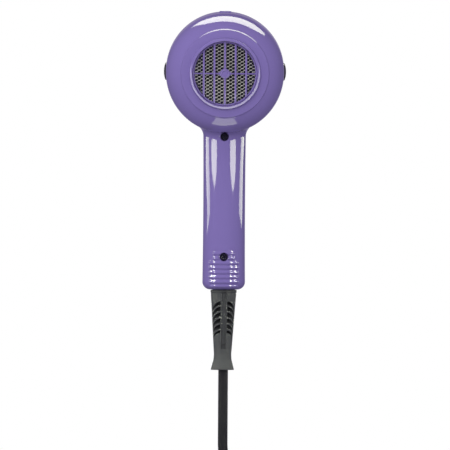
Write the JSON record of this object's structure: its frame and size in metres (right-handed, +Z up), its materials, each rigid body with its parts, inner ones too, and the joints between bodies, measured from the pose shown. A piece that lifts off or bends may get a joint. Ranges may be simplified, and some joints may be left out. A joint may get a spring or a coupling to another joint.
{
  "type": "travel hair dryer",
  "caption": "Hand-held travel hair dryer with a round rear air intake, straight grip, strain relief and a mains lead in a tied coil; it draws in air, heats it and blows it out of a barrel.",
  "frame": {"origin": "middle of the hand grip, on its axis and on the parting plane between the rear and front shells", "axes": "+Z up along the grip to the head, +Y towards the air outlet, +X to the right seen from the rear intake"},
  "size_m": [0.1288, 0.1765, 0.3496],
  "materials": {
    "purple_shell": "glossy moulded ABS, purple",
    "dark_plastic": "dark grey gloss plastic",
    "black_plastic": "black matt moulded plastic",
    "relief_rubber": "dark grey soft PVC",
    "cord_sheath": "black PVC cable sheath",
    "screen_steel": "bright pressed stainless screen",
    "plain_steel": "zinc plated steel",
    "black_steel": "blackened screw steel",
    "copper_wire": "copper and resistance wire",
    "brass": "sintered bronze and brass",
    "mica": "laminated mica sheet",
    "duct_plastic": "dark heat resistant nylon",
    "board": "green laminate board",
    "ferrite": "sintered ferrite and carbon",
    "white_nylon": "natural nylon",
    "red_wire": "red silicone sleeve",
    "blue_wire": "blue silicone sleeve"
  },
  "bodies": {
    "housing": {"rear_shell": "purple_shell", "front_shell": "purple_shell", "upper_screw": "black_steel", "lower_screw": "black_steel", "intake_grille": "purple_shell", "intake_screen": "screen_steel", "screen_retainer": "black_steel", "side_cap_left": "dark_plastic", "side_cap_right": "dark_plastic", "fan_duct": "duct_plastic", "motor_magnet_left": "ferrite", "motor_magnet_right": "ferrite", "motor_can": "plain_steel", "rear_bearing": "brass", "front_bearing": "brass", "motor_end_cap": "black_plastic", "carbon_brush_left": "ferrite", "carbon_brush_right": "ferrite", "mica_board_level": "mica", "mica_board_upright": "mica", "heater_coil_low": "copper_wire", "heater_coil_high": "copper_wire", "mica_liner": "mica", "thermostat": "white_nylon", "thermal_fuse": "plain_steel", "outlet_grille": "dark_plastic", "speed_switch_body": "black_plastic", "cold_shot_spring": "plain_steel", "cold_shot_switch": "black_plastic", "voltage_switch": "black_plastic", "rectifier_board": "board", "diode_1": "black_plastic", "diode_2": "black_plastic", "diode_3": "black_plastic", "diode_4": "black_plastic", "noise_capacitor": "brass", "cord_clamp": "white_nylon", "clamp_screw_left": "plain_steel", "clamp_screw_right": "plain_steel", "cord_sheath_end": "cord_sheath", "wire_live": "red_wire", "wire_neutral": "blue_wire", "strain_relief": "relief_rubber", "cord_drop": "cord_sheath", "cord_coil": "cord_sheath", "cord_tie": "relief_rubber", "cord_tail": "cord_sheath", "plug_body": "black_plastic", "plug_pin_left": "plain_steel", "plug_pin_right": "plain_steel"},
    "rotor": {"fan_impeller": "duct_plastic", "motor_shaft": "plain_steel", "motor_armature": "copper_wire", "motor_commutator": "brass"},
    "speed_slider": {"speed_slider": "dark_plastic"},
    "cold_shot_button": {"cold_shot_button": "dark_plastic"},
    "voltage_dial": {"voltage_dial": "dark_plastic"}
  },
  "joints": [
    {"name": "fan_spin", "type": "hinge", "parent": "housing", "child": "rotor", "pos_m": [0, 0, 0.1], "axis": [0, 0.9983, 0.0576], "continuous": true},
    {"name": "speed_slide", "type": "slide", "parent": "housing", "child": "speed_slider", "axis": [0, 0, 1], "range_m": [0, 0.012]},
    {"name": "cold_shot_press", "type": "slide", "parent": "housing", "child": "cold_shot_button", "axis": [0, -1, 0], "range_m": [0, 0.002], "stiffness_N_per_m": 400, "springref_m": -0.001, "deforming": ["cold_shot_spring"]},
    {"name": "voltage_turn", "type": "hinge", "parent": "housing", "child": "voltage_dial", "pos_m": [0, 0, -0.014], "axis": [0, 1, 0], "range_deg": [0, 90]}
  ]
}
